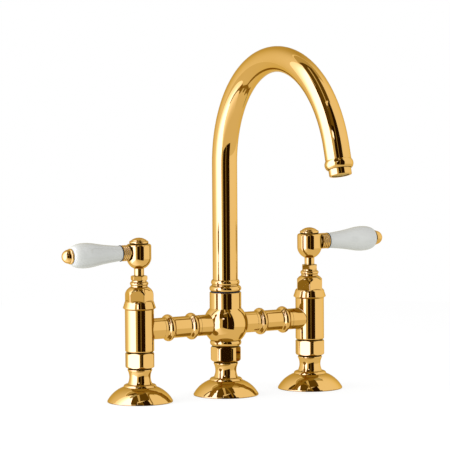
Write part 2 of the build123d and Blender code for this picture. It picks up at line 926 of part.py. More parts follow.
# Handle hubs: round-bottomed drums with a square socket, a screw bore and a flat for the lever
square_socket = spindle_square + 2 * thread_clearance
cap_flat = cap_dome_radius - cap_round
cap_slope = 2 * degrees(atan2(cap_dome_height - cap_round, cap_flat))
cap_sphere = cap_round + cap_flat / sin(radians(cap_slope))
for name, side in sides.items():
    x = legs[name]
    lever_plane = Plane(origin=(x, 0, lever_level), x_dir=(0, 1, 0), z_dir=(side, 0, 0))
    with BuildPart() as hub:
        with BuildSketch(upright(x)):
            with BuildLine():
                Line((0, hub_bottom), (hub_neck_radius, hub_bottom))
                ThreePointArc(
                    (hub_neck_radius, hub_bottom),
                    (hub_belly_radius, hub_bottom + hub_belly_level),
                    (hub_radius, hub_bottom + hub_lower_round),
                )
                Line((hub_radius, hub_bottom + hub_lower_round), (hub_radius, hub_top - hub_shoulder))
                CenterArc((hub_radius - hub_shoulder, hub_top - hub_shoulder), hub_shoulder, 0, 90)
                Polyline((hub_radius - hub_shoulder, hub_top), (0, hub_top), (0, hub_bottom))
            make_face()
        revolve(axis=column_axis(x))
        with BuildSketch(flat(x, hub_bottom)):
            Rectangle(square_socket, square_socket)
        extrude(amount=spindle_square_length, mode=Mode.SUBTRACT)
        with BuildSketch(flat(x, square_top)):
            Circle(hub_screw_radius + thread_clearance)
        extrude(amount=hub_web, mode=Mode.SUBTRACT)
        with BuildSketch(flat(x, web_top)):
            Circle(hub_bore)
        extrude(amount=hub_top - web_top, mode=Mode.SUBTRACT)
        with BuildSketch(lever_plane.offset(hub_seat)):
            Circle(hub_seat_radius)
        extrude(amount=hub_radius - hub_seat, mode=Mode.SUBTRACT)
        with BuildSketch(lever_plane.offset(rod_start)):
            Circle(rod_radius + thread_clearance)
        extrude(amount=hub_radius - rod_start, mode=Mode.SUBTRACT)
    save(hub, f"{name}_handle_hub")

    # Socket-head screw that holds the hub on its spindle
    with BuildPart() as hub_screw:
        with BuildSketch(flat(x, web_top)):
            Circle(hub_screw_radius)
        extrude(amount=-(hub_web + hub_screw_length - face_clearance))
        with BuildSketch(flat(x, web_top)):
            Circle(hub_screw_head_radius)
        extrude(amount=hub_screw_head_height)
        with BuildSketch(flat(x, web_top + hub_screw_head_height)):
            RegularPolygon(hub_screw_key / 2, 6, major_radius=False)
        extrude(amount=-hub_screw_head_height / 2, mode=Mode.SUBTRACT)
    save(hub_screw, f"{name}_hub_screw")

    # Domed cap on the hub, plugged into the screw bore
    with BuildPart() as hub_cap:
        with BuildSketch(upright(x)):
            with BuildLine():
                bead_top = hub_top + cap_bead_height
                plug = hub_bore - thread_clearance
                Polyline(
                    (0, hub_top - cap_plug_length),
                    (plug, hub_top - cap_plug_length),
                    (plug, hub_top),
                    (cap_bead_edge, hub_top),
                )
                ThreePointArc(
                    (cap_bead_edge, hub_top),
                    (cap_radius, hub_top + cap_bead_height / 2),
                    (cap_bead_edge, bead_top),
                )
                Line((cap_bead_edge, bead_top), (cap_dome_radius, bead_top))
                CenterArc((cap_flat, bead_top), cap_round, 0, 90 - cap_slope)
                cap_centre = (0, bead_top + cap_dome_height - cap_sphere)
                CenterArc(cap_centre, cap_sphere, 90 - cap_slope, cap_slope)
                Line((0, bead_top + cap_dome_height), (0, hub_top - cap_plug_length))
            make_face()
        revolve(axis=column_axis(x))
    save(hub_cap, f"{name}_hub_cap")

# Levers: ribbed ferrule, porcelain grip and finial, drawn together by a threaded rod
rod_hole = rod_radius + thread_clearance
for name, side in sides.items():
    x = legs[name]
    out = upright(x, side, lever_level)
    lever_axis = outward_axis(x, side, lever_level)

    with BuildPart() as ferrule:
        with BuildSketch(out):
            with BuildLine():
                Polyline(
                    (grip_start, ferrule_groove_radius),
                    (grip_start, rod_hole),
                    (hub_seat, rod_hole),
                    (hub_seat, ferrule_neck_radius),
                    (ferrule_ribs_start, ferrule_neck_radius),
                    (ferrule_ribs_start, ferrule_groove_radius),
                )
                for rib in range(ferrule_rib_count):
                    start = ferrule_ribs_start + rib * ferrule_rib_pitch
                    ThreePointArc(
                        (start, ferrule_groove_radius),
                        (start + ferrule_rib_pitch / 2, ferrule_rib_radius),
                        (start + ferrule_rib_pitch, ferrule_groove_radius),
                    )
            make_face()
        revolve(axis=lever_axis)
    save(ferrule, f"{name}_lever_ferrule")

    with BuildPart() as grip:
        with BuildSketch(out) as outline:
            with BuildLine():
                Spline(
                    (grip_start, grip_end_radius),
                    (grip_start + grip_waist_place, grip_waist_radius),
                    (grip_start + grip_belly_place, grip_belly_radius),
                    (finial_start, grip_tip_radius),
                    tangents=((1, 0.1), (0.45, -1)),
                )
                Polyline(
                    (finial_start, grip_tip_radius),
                    (finial_start, rod_hole),
                    (grip_start, rod_hole),
                    (grip_start, grip_end_radius),
                )
            make_face()
            round_corner(outline, (grip_start, grip_end_radius), grip_edge_round)
            round_corner(outline, (finial_start, grip_tip_radius), grip_edge_round)
        revolve(axis=lever_axis)
    save(grip, f"{name}_lever_grip")

    with BuildPart() as finial:
        with BuildSketch(out):
            with BuildLine():
                Polyline((finial_tip, 0), (finial_start, 0), (finial_start, finial_neck_radius))
                ThreePointArc(
                    (finial_start, finial_neck_radius),
                    (finial_start + finial_ring_width / 2, finial_ring_radius),
                    (finial_neck, finial_neck_radius),
                )
                EllipticalCenterArc(
                    (finial_neck, 0), finial_length, finial_neck_radius, start_angle=0, arc_size=90
                )
            make_face()
        revolve(axis=lever_axis)
        thread = stepped(
            out,
            (finial_start, 0),
            (rod_end + thread_clearance, 0),
            (rod_end + thread_clearance, rod_hole),
            (finial_start, rod_hole),
        )
        revolve(thread, axis=lever_axis, mode=Mode.SUBTRACT)
    save(finial, f"{name}_lever_finial")

    with BuildPart() as rod:
        with BuildSketch(Plane(origin=(x + side * rod_start, 0, lever_level), z_dir=(side, 0, 0))):
            Circle(rod_radius)
        extrude(amount=rod_end - rod_start)
    save(rod, f"{name}_lever_rod")

# Spout tail: grooved for O-rings and for the grub screw that keeps the spout in
tail_bottom_level = socket_bottom + tail_end_play
tube_bore = tube_radius - tube_wall
spout_groove_radius = tail_radius + running_clearance - seal_space(spout_ring_section)
spout_groove_width = spout_ring_section + 4 * seal_clearance
with BuildPart() as spout_tail:
    tail = stepped(
        Plane.XZ,
        (tail_bore, tail_bottom_level),
        (tail_radius, tail_bottom_level),
        (tail_radius, tube_bottom),
        (tube_bore - thread_clearance, tube_bottom),
        (tube_bore - thread_clearance, tube_bottom + tail_plug_length),
        (tail_bore, tube_bottom + tail_plug_length),
    )
    revolve(tail, axis=Axis.Z)
    for drop in spout_ring_levels:
        low = body_top - drop - spout_groove_width / 2
        groove = ring_outline(
            Plane.XZ, spout_groove_radius, tail_radius + 1, low, low + spout_groove_width
        )
        revolve(groove, axis=Axis.Z, mode=Mode.SUBTRACT)
    catch = grub_point_radius + grub_play
    catch_groove = ring_outline(
        Plane.XZ,
        tail_radius - tail_groove_depth,
        tail_radius + 1,
        grub_level - catch,
        grub_level + catch,
    )
    revolve(catch_groove, axis=Axis.Z, mode=Mode.SUBTRACT)
save(spout_tail, "spout_tail")

with BuildPart() as spout_seals:
    for drop in spout_ring_levels:
        ring = o_ring(Plane.XZ, spout_groove_radius, spout_ring_section, body_top - drop)
        revolve(ring, axis=Axis.Z)
save(spout_seals, "spout_seals")

# Grub screw in the back of the middle body, its point in the tail's groove
point_tip = tail_radius - tail_groove_depth + grub_play
with BuildPart() as grub_screw:
    back = Plane(origin=(0, point_tip, grub_level), x_dir=(1, 0, 0), z_dir=(0, 1, 0))
    with BuildSketch(back):
        Circle(grub_point_radius)
    extrude(amount=grub_point_length)
    with BuildSketch(back.offset(grub_point_length)):
        Circle(grub_radius)
    grub_length = socket_radius - grub_sink - point_tip - grub_point_length
    extrude(amount=grub_length)
    with BuildSketch(back.offset(grub_point_length + grub_length)):
        RegularPolygon(grub_key / 2, 6, major_radius=False)
    extrude(amount=-grub_length / 2, mode=Mode.SUBTRACT)
save(grub_screw, "spout_grub_screw")

# Slip washer that the spout turns on
with BuildPart() as swivel_washer:
    washer = ring_outline(
        Plane.XZ,
        tail_radius + running_clearance,
        swivel_washer_radius,
        body_top,
        body_top + swivel_washer_thickness,
    )
    revolve(washer, axis=Axis.Z)
save(swivel_washer, "swivel_washer")

# Beaded collar round the foot of the spout
with BuildPart() as spout_collar:
    with BuildSketch(Plane.XZ):
        with BuildLine():
            collar_bore = tube_radius + thread_clearance
            bead_top = collar_bottom + collar_bead_height
            small_bead = bead_top + collar_groove_height
            Line((collar_bore, collar_bottom), (collar_foot_radius, collar_bottom))
            ThreePointArc(
                (collar_foot_radius, collar_bottom),
                (collar_bead_radius, collar_bottom + collar_bead_height / 2),
                (collar_groove_radius, bead_top),
            )
            Line((collar_groove_radius, bead_top), (collar_groove_radius, small_bead))
            ThreePointArc(
                (collar_groove_radius, small_bead),
                (collar_small_bead_radius, (small_bead + collar_top) / 2),
                (collar_top_radius, collar_top),
            )
            Polyline(
                (collar_top_radius, collar_top),
                (collar_bore, collar_top),
                (collar_bore, collar_bottom),
            )
        make_face()
    revolve(axis=Axis.Z)
save(spout_collar, "spout_collar")

# Spout tube: a straight riser, one large bend towards the user and a short straight tip
bend = radians(bend_angle)
bend_end = (bend_radius * (1 - cos(bend)), bend_level + bend_radius * sin(bend))
spout_plane = Plane(origin=(0, 0, 0), x_dir=(0, -1, 0), z_dir=(-1, 0, 0))
tip = (bend_end[0] + tube_end * sin(bend), bend_end[1] + tube_end * cos(bend))
with BuildPart() as spout_tube:
    with BuildLine(spout_plane):
        Line((0, tube_bottom), (0, bend_level))
        CenterArc((bend_radius, bend_level), bend_radius, 180, -bend_angle)
        Line(bend_end, tip)
    with BuildSketch(flat(0, tube_bottom)):
        Circle(tube_radius)
        Circle(tube_bore, mode=Mode.SUBTRACT)
    sweep()
save(spout_tube, "spout_tube")

# Outlet, set out from the end of the bend along the tube's own axis
outlet_origin = (0, -bend_end[0], bend_end[1])
outlet_way = Vector(0, -sin(bend), cos(bend))
outlet_plane = Plane(
    origin=outlet_origin, x_dir=(1, 0, 0), z_dir=Vector(1, 0, 0).cross(outlet_way)
)
outlet_axis = Axis(outlet_origin, outlet_way)

with BuildPart() as nozzle_ring:
    with BuildSketch(outlet_plane):
        with BuildLine():
            nozzle_bore = tube_radius + thread_clearance
            Line((nozzle_bore, nozzle_start), (nozzle_bore, tube_end))
            Polyline(
                (nozzle_bore, tube_end),
                (nozzle_thread_radius, tube_end),
                (nozzle_thread_radius, nozzle_end),
                (nozzle_foot_radius, nozzle_end),
            )
            ThreePointArc(
                (nozzle_foot_radius, nozzle_end),
                (nozzle_bead_radius, nozzle_bead_place),
                (nozzle_bore, nozzle_start),
            )
        make_face()
    revolve(axis=outlet_axis)
save(nozzle_ring, "nozzle_ring")

aerator_thread = nozzle_thread_radius - thread_clearance
aerator_seat = aerator_end - aerator_lip_height
with BuildPart() as aerator_housing:
    with BuildSketch(outlet_plane):
        with BuildLine():
            Polyline(
                (aerator_bore, tube_end),
                (aerator_thread, tube_end),
                (aerator_thread, nozzle_end),
                (aerator_radius, nozzle_end),
                (aerator_radius, aerator_end - aerator_round),
            )
            CenterArc(
                (aerator_radius - aerator_round, aerator_end - aerator_round), aerator_round, 0, 90
            )
            Polyline(
                (aerator_radius - aerator_round, aerator_end),
                (aerator_lip_radius, aerator_end),
                (aerator_lip_radius, aerator_seat),
                (aerator_bore, aerator_seat),
                (aerator_bore, tube_end),
            )
        make_face()
    revolve(axis=outlet_axis)
save(aerator_housing, "aerator_housing")

insert_radius = aerator_bore - thread_clearance
insert_top = tube_end + aerator_washer_thickness
with BuildPart() as aerator_insert:
    face = Plane(
        origin=Vector(*outlet_origin) + outlet_way * insert_top, x_dir=(1, 0, 0), z_dir=outlet_way
    )
    with BuildSketch(face):
        Circle(insert_radius)
        Circle(aerator_hole_radius, mode=Mode.SUBTRACT)
        for ring_radius, holes in aerator_hole_rings.items():
            with PolarLocations(ring_radius, holes):
                Circle(aerator_hole_radius, mode=Mode.SUBTRACT)
    extrude(amount=aerator_seat - insert_top)
save(aerator_insert, "aerator_insert")

with BuildPart() as aerator_washer:
    washer = ring_outline(
        outlet_plane, insert_radius - aerator_washer_width, insert_radius, tube_end, insert_top
    )
    revolve(washer, axis=outlet_axis)
save(aerator_washer, "aerator_washer")
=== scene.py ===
"""Looks of a deck-mounted bridge mixer tap in polished gold-plated brass with porcelain levers."""

import json
from math import cos, pi, radians, sin

import bpy
from mathutils import Matrix, Vector

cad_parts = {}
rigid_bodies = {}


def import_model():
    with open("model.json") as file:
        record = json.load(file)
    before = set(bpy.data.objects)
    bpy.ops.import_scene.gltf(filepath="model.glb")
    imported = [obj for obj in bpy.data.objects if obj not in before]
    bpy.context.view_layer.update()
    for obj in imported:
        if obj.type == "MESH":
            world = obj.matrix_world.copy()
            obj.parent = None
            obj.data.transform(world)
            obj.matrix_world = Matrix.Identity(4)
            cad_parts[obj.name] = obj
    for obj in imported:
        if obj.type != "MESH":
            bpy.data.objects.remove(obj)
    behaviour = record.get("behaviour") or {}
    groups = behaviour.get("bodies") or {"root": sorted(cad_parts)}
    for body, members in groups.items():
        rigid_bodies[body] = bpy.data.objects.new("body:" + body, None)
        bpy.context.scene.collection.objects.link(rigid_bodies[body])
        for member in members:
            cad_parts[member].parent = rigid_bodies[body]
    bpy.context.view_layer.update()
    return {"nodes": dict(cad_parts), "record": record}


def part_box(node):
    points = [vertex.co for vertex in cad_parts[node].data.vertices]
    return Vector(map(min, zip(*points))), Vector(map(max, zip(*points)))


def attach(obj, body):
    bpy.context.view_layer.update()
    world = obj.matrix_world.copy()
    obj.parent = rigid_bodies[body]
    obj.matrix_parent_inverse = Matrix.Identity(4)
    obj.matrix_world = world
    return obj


for leftover in list(bpy.data.objects):
    bpy.data.objects.remove(leftover)

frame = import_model()
nodes = frame["nodes"]
scene = bpy.context.scene
bpy.ops.object.select_all(action="DESELECT")


# Camera: a long lens from the front left, a little above the bridge
view_turn = radians(29.897)
view_rise = radians(5.316)
view_roll = radians(-0.377)
view_distance = 4.5
view_target = Vector((0.00066, 0.0, 0.17615))
view_lens = 348.49  # millimetres, on a sensor 36 mm wide
half_pixel = 0.5 / 450  # the fit to the picture counts its 450 pixels at their middles
back = Vector((-sin(view_turn) * cos(view_rise), -cos(view_turn) * cos(view_rise), sin(view_rise)))
level_right = Vector((cos(view_turn), -sin(view_turn), 0))
level_up = back.cross(level_right)
camera_right = level_right * cos(view_roll) + level_up * sin(view_roll)
camera_up = level_up * cos(view_roll) - level_right * sin(view_roll)
eye = view_target + back * view_distance

bpy.ops.object.camera_add(location=eye)
camera = bpy.context.object
camera.matrix_world = Matrix(
    (
        (camera_right.x, camera_up.x, back.x, eye.x),
        (camera_right.y, camera_up.y, back.y, eye.y),
        (camera_right.z, camera_up.z, back.z, eye.z),
        (0, 0, 0, 1),
    )
)
camera.data.sensor_width = 36.0
camera.data.lens = view_lens
camera.data.clip_end = 20.0
camera.data.shift_x = -half_pixel
camera.data.shift_y = half_pixel
scene.camera = camera


# Materials
def colour(hex_code):
    """An sRGB hex colour as linear red, green, blue and alpha."""
    parts = [int(hex_code[i : i + 2], 16) / 255 for i in (1, 3, 5)]
    linear = [c / 12.92 if c <= 0.04045 else ((c + 0.055) / 1.055) ** 2.4 for c in parts]
    return (*linear, 1.0)


def per_size(millimetres):
    """Texture scale whose pattern repeats at about this real size."""
    return 1000 / millimetres


def add(tree, kind, inputs, **settings):
    """Add a node, with its settings, and with its inputs set or joined to other nodes."""
    made = tree.nodes.new(kind)
    for name, value in settings.items():
        setattr(made, name, value)
    for name, value in inputs.items():
        if isinstance(value, bpy.types.NodeSocket):
            tree.links.new(value, made.inputs[name])
        else:
            made.inputs[name].default_value = value
    return made


def new_material(name):
    """An empty node material, and its node tree."""
    material = bpy.data.materials.new(name)
    material.use_nodes = True
    material.node_tree.nodes.clear()
    return material, material.node_tree


def finish_material(tree, shader):
    """Join a shader to the material's output."""
    add(tree, "ShaderNodeOutputMaterial", {"Surface": shader})


def gold_plate():
    """Gold flashed over buffed brass: a mirror, with a soft drift, and dark brown painted shade in its
    crevices and between parts.
    """
    material, tree = new_material("gold_plated_brass_buffed")
    place = add(tree, "ShaderNodeTexCoord", {}).outputs["Object"]
    drift = add(tree, "ShaderNodeTexNoise", {"Vector": place, "Scale": per_size(30), "Detail": 2.0})
    buffed = add(
        tree,
        "ShaderNodeMix",
        {"Factor": drift.outputs["Fac"], "A": colour("#EFC072"), "B": colour("#EABA6A")},
        data_type="RGBA",
    )
    # Painted shade: wherever the occlusion finds a crevice or a narrow gap between parts, the colour
    # turns dark brown.
    painted_shade_occlusion = add(tree, "ShaderNodeAmbientOcclusion", {"Distance": 0.003}, samples=8)
    reach = add(
        tree,
        "ShaderNodeMapRange",
        {"Value": painted_shade_occlusion.outputs["AO"], "From Min": 0.35, "From Max": 0.85},
    )
    tint = add(
        tree,
        "ShaderNodeMix",
        {"Factor": reach.outputs["Result"], "A": colour("#5A3C0A"), "B": buffed.outputs["Result"]},
        data_type="RGBA",
    )
    haze = add(tree, "ShaderNodeTexNoise", {"Vector": place, "Scale": per_size(5), "Detail": 4.0})
    gloss = add(
        tree,
        "ShaderNodeMapRange",
        {"Value": haze.outputs["Fac"], "To Min": 0.02, "To Max": 0.06},
    )
    wave = add(tree, "ShaderNodeTexNoise", {"Vector": place, "Scale": per_size(9), "Detail": 1.0})
    dimple = add(
        tree,
        "ShaderNodeBump",
        {"Height": wave.outputs["Fac"], "Strength": 0.05, "Distance": 0.0002},
    )
    shader = add(
        tree,
        "ShaderNodeBsdfPrincipled",
        {
            "Base Color": tint.outputs["Result"],
            "Metallic": 1.0,
            "Specular Tint": colour("#F9E2AA"),  # its edges stay gold, where bare metal pales
            "Roughness": gloss.outputs["Result"],
            "Normal": dimple.outputs["Normal"],
        },
    )
    finish_material(tree, shader.outputs["BSDF"])
    return material


def white_porcelain():
    """Slip-cast porcelain, glazed and fired: white clay under a clear gloss that pools a little."""
    material, tree = new_material("porcelain_white_glazed")
    place = add(tree, "ShaderNodeTexCoord", {}).outputs["Object"]
    cloud = add(tree, "ShaderNodeTexNoise", {"Vector": place, "Scale": per_size(18), "Detail": 3.0})
    tint = add(
        tree,
        "ShaderNodeMix",
        {"Factor": cloud.outputs["Fac"], "A": colour("#DADBD8"), "B": colour("#D6D7D4")},
        data_type="RGBA",
    )
    pooled = add(tree, "ShaderNodeTexNoise", {"Vector": place, "Scale": per_size(16), "Detail": 1.0})
    dimple = add(
        tree,
        "ShaderNodeBump",
        {"Height": pooled.outputs["Fac"], "Strength": 0.015, "Distance": 0.0002},
    )
    gloss = add(
        tree,
        "ShaderNodeMapRange",
        {"Value": cloud.outputs["Fac"], "To Min": 0.06, "To Max": 0.12},
    )
    shader = add(
        tree,
        "ShaderNodeBsdfPrincipled",
        {
            "Base Color": tint.outputs["Result"],
            "Roughness": gloss.outputs["Result"],
            "IOR": 1.52,
            "Normal": dimple.outputs["Normal"],
        },
    )
    finish_material(tree, shader.outputs["BSDF"])
    return material


def turned_metal(name, light, dark, roughness, pitch):
    """A turned or ground metal: fine rings left by the tool, at this pitch in millimetres."""
    material, tree = new_material(name)
    place = add(tree, "ShaderNodeTexCoord", {}).outputs["Object"]
    rings = add(
        tree,
        "ShaderNodeTexWave",
        {"Vector": place, "Scale": per_size(pitch) * pi / 10, "Distortion": 0.6, "Detail": 2.0},
        bands_direction="Z",
    )
    tint = add(
        tree,
        "ShaderNodeMix",
        {"Factor": rings.outputs["Fac"], "A": colour(light), "B": colour(dark)},
        data_type="RGBA",
    )
    groove = add(
        tree,
        "ShaderNodeBump",
        {"Height": rings.outputs["Fac"], "Strength": 0.15, "Distance": 0.0001},
    )
    shader = add(
        tree,
        "ShaderNodeBsdfPrincipled",
        {
            "Base Color": tint.outputs["Result"],
            "Metallic": 1.0,
            "Roughness": roughness,
            "Normal": groove.outputs["Normal"],
        },
    )
    finish_material(tree, shader.outputs["BSDF"])
    return material


def moulded(name, light, dark, roughness, grain):
    """A moulded or pressed piece: an even colour with a fine grain of this size in millimetres."""
    material, tree = new_material(name)
    place = add(tree, "ShaderNodeTexCoord", {}).outputs["Object"]
    speckle = add(tree, "ShaderNodeTexNoise", {"Vector": place, "Scale": per_size(grain), "Detail": 3.0})
    tint = add(
        tree,
        "ShaderNodeMix",
        {"Factor": speckle.outputs["Fac"], "A": colour(light), "B": colour(dark)},
        data_type="RGBA",
    )
    texture = add(
        tree,
        "ShaderNodeBump",
        {"Height": speckle.outputs["Fac"], "Strength": 0.2, "Distance": 0.0001},
    )
    shader = add(
        tree,
        "ShaderNodeBsdfPrincipled",
        {
            "Base Color": tint.outputs["Result"],
            "Roughness": roughness,
            "Normal": texture.outputs["Normal"],
        },
    )
    finish_material(tree, shader.outputs["BSDF"])
    return material


finishes = {
    "polished_gold": gold_plate(),
    "porcelain": white_porcelain(),
    # Brass straight from the lathe: paler and duller than the plating
    "plain_brass": turned_metal("brass_as_turned", "#D8BC78", "#C4A45C", 0.28, 0.4),
    # Ground ceramic: an even warm white with a satin face
    "alumina": moulded("alumina_lapped", "#EDEBE4", "#E2E0D8", 0.25, 0.3),
    # Pressed rubber: black and dull
    "seal_rubber": moulded("nitrile_rubber_moulded", "#1C1C1C", "#262626", 0.6, 0.4),
    # Turned stainless steel: grey, with a soft shine
    "steel": turned_metal("stainless_steel_turned", "#C9C9C8", "#B4B4B3", 0.25, 0.35),
    # Moulded plastic: a deeper black than the rubber
    "acetal": moulded("acetal_black_moulded", "#121212", "#1B1B1B", 0.55, 0.5),
}
for part in frame["record"]["subparts"]:
    nodes[part["node"]].data.materials.clear()
    nodes[part["node"]].data.materials.append(finishes[part["material_slot"]])


ring_sides = 96
smooth_angle = radians(40)  # sharper edges than this stay crisp


# Grip washers: black rubber rings in the groove between each ferrule and its porcelain
washer_inner = 0.00762
washer_outer = 0.00835
washer_thickness = 0.00055
washer_overlap = 0.00025  # how far the ring reaches back over the ferrule's last groove
washer_round = 0.00015
for side, outward in (("left", -1), ("right", 1)):
    ferrule_low, ferrule_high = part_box(f"{side}_lever_ferrule")
    ferrule_end = ferrule_low[0] if outward < 0 else ferrule_high[0]
    ring_start = ferrule_end - outward * washer_overlap
    ring_middle = (ring_start, 0, (ferrule_low[2] + ferrule_high[2]) / 2)
    bpy.ops.object.select_all(action="DESELECT")
    bpy.ops.mesh.primitive_circle_add(
        vertices=ring_sides, radius=washer_inner, location=ring_middle, rotation=(0, radians(90), 0)
    )
    washer = bpy.context.object
    washer.name = f"{side}_grip_washer"
    bpy.ops.object.transform_apply(location=True, rotation=True, scale=True)
    bpy.ops.object.mode_set(mode="EDIT")
    bpy.ops.mesh.select_all(action="SELECT")
    bpy.ops.mesh.extrude_edges_move()
    widen = washer_outer / washer_inner
    bpy.ops.transform.resize(value=(1, widen, widen), center_override=ring_middle)
    bpy.ops.mesh.select_all(action="SELECT")
    bpy.ops.mesh.extrude_region_move(
        TRANSFORM_OT_translate={"value": (outward * washer_thickness, 0, 0)}
    )
    bpy.ops.mesh.select_all(action="SELECT")
    bpy.ops.mesh.normals_make_consistent(inside=False)
    bpy.ops.object.mode_set(mode="OBJECT")
    rounding = washer.modifiers.new("rounded_edges", "BEVEL")
    rounding.width = washer_round
    rounding.segments = 3
    bpy.ops.object.modifier_apply(modifier=rounding.name)
    bpy.ops.object.shade_smooth_by_angle(angle=smooth_angle)
    washer.data.materials.append(finishes["seal_rubber"])
    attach(washer, f"{side}_handle")


# Outlet gauze: woven brass wire in a flat brass rim, set in the recess under the aerator's insert
outlet_tilt = radians(16)  # how far the outlet leans out from straight down
gauze_gap = 0.0004  # from the insert's face to the middle of the wires
insert_half = 0.00355  # half of the insert's thickness
gauze_wire = 0.00028
gauze_pitch = 0.00075
gauze_reach = 0.008  # the wires end under the rim
rim_inner = 0.0077
rim_outer = 0.0085
rim_thickness = 0.0004
rim_round = 0.0001
insert_low, insert_high = (Vector(corner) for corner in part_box("aerator_insert"))
outlet_way = Vector((0, -sin(outlet_tilt), -cos(outlet_tilt)))
gauze_place = (insert_low + insert_high) / 2 + outlet_way * (insert_half + gauze_gap)

bpy.ops.object.select_all(action="DESELECT")
gauze_rows = round(2 * gauze_reach / gauze_pitch)
bpy.ops.mesh.primitive_grid_add(
    x_subdivisions=gauze_rows, y_subdivisions=gauze_rows, size=gauze_rows * gauze_pitch
)
gauze = bpy.context.object
gauze.name = "aerator_gauze"
bpy.ops.object.mode_set(mode="EDIT")
bpy.ops.mesh.select_mode(type="VERT")
bpy.ops.mesh.select_all(action="DESELECT")
bpy.ops.object.mode_set(mode="OBJECT")
for corner in gauze.data.vertices:
    corner.select = corner.co.length > gauze_reach
bpy.ops.object.mode_set(mode="EDIT")
bpy.ops.mesh.delete(type="VERT")
bpy.ops.object.mode_set(mode="OBJECT")
weave = gauze.modifiers.new("wires", "WIREFRAME")
weave.thickness = gauze_wire
weave.use_boundary = True
bpy.ops.object.modifier_apply(modifier=weave.name)
bpy.ops.object.mode_set(mode="EDIT")
bpy.ops.mesh.select_all(action="SELECT")
bpy.ops.mesh.normals_make_consistent(inside=False)
bpy.ops.object.mode_set(mode="OBJECT")

bpy.ops.object.select_all(action="DESELECT")
bpy.ops.mesh.primitive_circle_add(
    vertices=ring_sides, radius=rim_inner, location=(0, 0, -rim_thickness / 2)
)
rim = bpy.context.object
bpy.ops.object.transform_apply(location=True, rotation=True, scale=True)
bpy.ops.object.mode_set(mode="EDIT")
bpy.ops.mesh.select_all(action="SELECT")
bpy.ops.mesh.extrude_edges_move()
widen = rim_outer / rim_inner
bpy.ops.transform.resize(value=(widen, widen, 1), center_override=(0, 0, 0))
bpy.ops.mesh.select_all(action="SELECT")
bpy.ops.mesh.extrude_region_move(TRANSFORM_OT_translate={"value": (0, 0, rim_thickness)})
bpy.ops.mesh.select_all(action="SELECT")
bpy.ops.mesh.normals_make_consistent(inside=False)
bpy.ops.object.mode_set(mode="OBJECT")
rounding = rim.modifiers.new("rounded_edges", "BEVEL")
rounding.width = rim_round
rounding.segments = 2
bpy.ops.object.modifier_apply(modifier=rounding.name)

gauze.select_set(True)
bpy.context.view_layer.objects.active = gauze
bpy.ops.object.join()
gauze.rotation_euler = (-outlet_tilt, 0, 0)
gauze.location = gauze_place
bpy.ops.object.transform_apply(location=True, rotation=True, scale=True)
bpy.ops.object.shade_smooth_by_angle(angle=smooth_angle)
gauze.data.materials.append(finishes["plain_brass"])
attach(gauze, "spout")


# Studio: a long softbox at the left, a dark flag round the camera, pale walls, and lamps for dull pieces
deep_level = 0.7  # what metal mirrored in metal sees of the studio, so crevices stay dark
deep_tint = "#BBCEB8"
warm_green = 0.2  # powers that take green and blue out of a dim cloth
warm_blue = 1.1
cool_red = 0.5  # powers that take red and green out of a bright one
cool_green = 0.42
to_camera = Vector((-sin(view_turn), -cos(view_turn), 0))
floor_height = -1.2  # of the studio, below the table that the tap stands on
flag_foot = -1.18
flag_top = 5.7
overhead_flag_height = 5.68
overhead_slit_height = 5.66
ceiling_height = 5.72
wall_distance = 6
wall_foot = -1.1
wall_top = 8.6
lamp_aim = Vector((0, 0, 0.15))  # at the bridge


def lit(level):
    """The colour of a cloth at this level: a dim one is warm, and one brighter than white is cool."""
    dim = min(level, 1.0)
    bright = max(level, 1.0)
    red = level / bright**cool_red
    green = level * dim**warm_green / bright**cool_green
    blue = level * dim**warm_blue
    return (red, green, blue, 1)


def glow(name, level, fade):
    """A cloth of this brightness, which may fade at its left end.

    The fade gives the level at that end, and the share of the width in which it is gone.
    """
    material, tree = new_material(name)
    shade = lit(level)
    if fade:
        place = add(tree, "ShaderNodeTexCoord", {}).outputs["UV"]
        across = add(tree, "ShaderNodeSeparateXYZ", {"Vector": place}).outputs["X"]
        faded = add(
            tree,
            "ShaderNodeMapRange",
            {"Value": across, "From Max": fade[1]},
            interpolation_type="SMOOTHSTEP",
        )
        shade = add(
            tree,
            "ShaderNodeMix",
            {"Factor": faded.outputs["Result"], "A": lit(fade[0]), "B": shade},
            data_type="RGBA",
        ).outputs["Result"]
    seen = add(tree, "ShaderNodeEmission", {"Color": shade, "Strength": 1.0})
    deep = add(tree, "ShaderNodeEmission", {"Color": colour(deep_tint), "Strength": deep_level})
    depth = add(tree, "ShaderNodeLightPath", {}).outputs["Ray Depth"]
    deeper = add(tree, "ShaderNodeMapRange", {"Value": depth, "From Min": 1.0, "From Max": 2.0})
    shader = add(
        tree,
        "ShaderNodeMixShader",
        {0: deeper.outputs["Result"], 1: seen.outputs["Emission"], 2: deep.outputs["Emission"]},
    )
    finish_material(tree, shader.outputs["Shader"])
    # Only mirrored rays meet a cloth: out of the lamps' sampling, it leaves less grain on the porcelain
    material.cycles.emission_sampling = "NONE"
    return material


def spot(turn, far, height):
    """The point at this turn from the camera, in degrees, this far from the middle leg and this high."""
    way = to_camera * cos(radians(turn)) + level_right * sin(radians(turn))
    return way * far + Vector((0, 0, height))


def flat(low_left, low_right, high_left, high_right):
    """The shape of a flat cloth with these corners."""
    return lambda across, up: low_left.lerp(low_right, across).lerp(
        high_left.lerp(high_right, across), up
    )


def upright(left, right, low, high):
    """The shape of a flat upright cloth between two places, each a turn and a distance."""
    return flat(spot(*left, low), spot(*right, low), spot(*left, high), spot(*right, high))


def curved(left, right, near, far, low, high):
    """The shape of a cloth bent round the tap, from one distance and height to another."""
    return lambda across, up: spot(
        left + (right - left) * across, near + (far - near) * up, low + (high - low) * up
    )


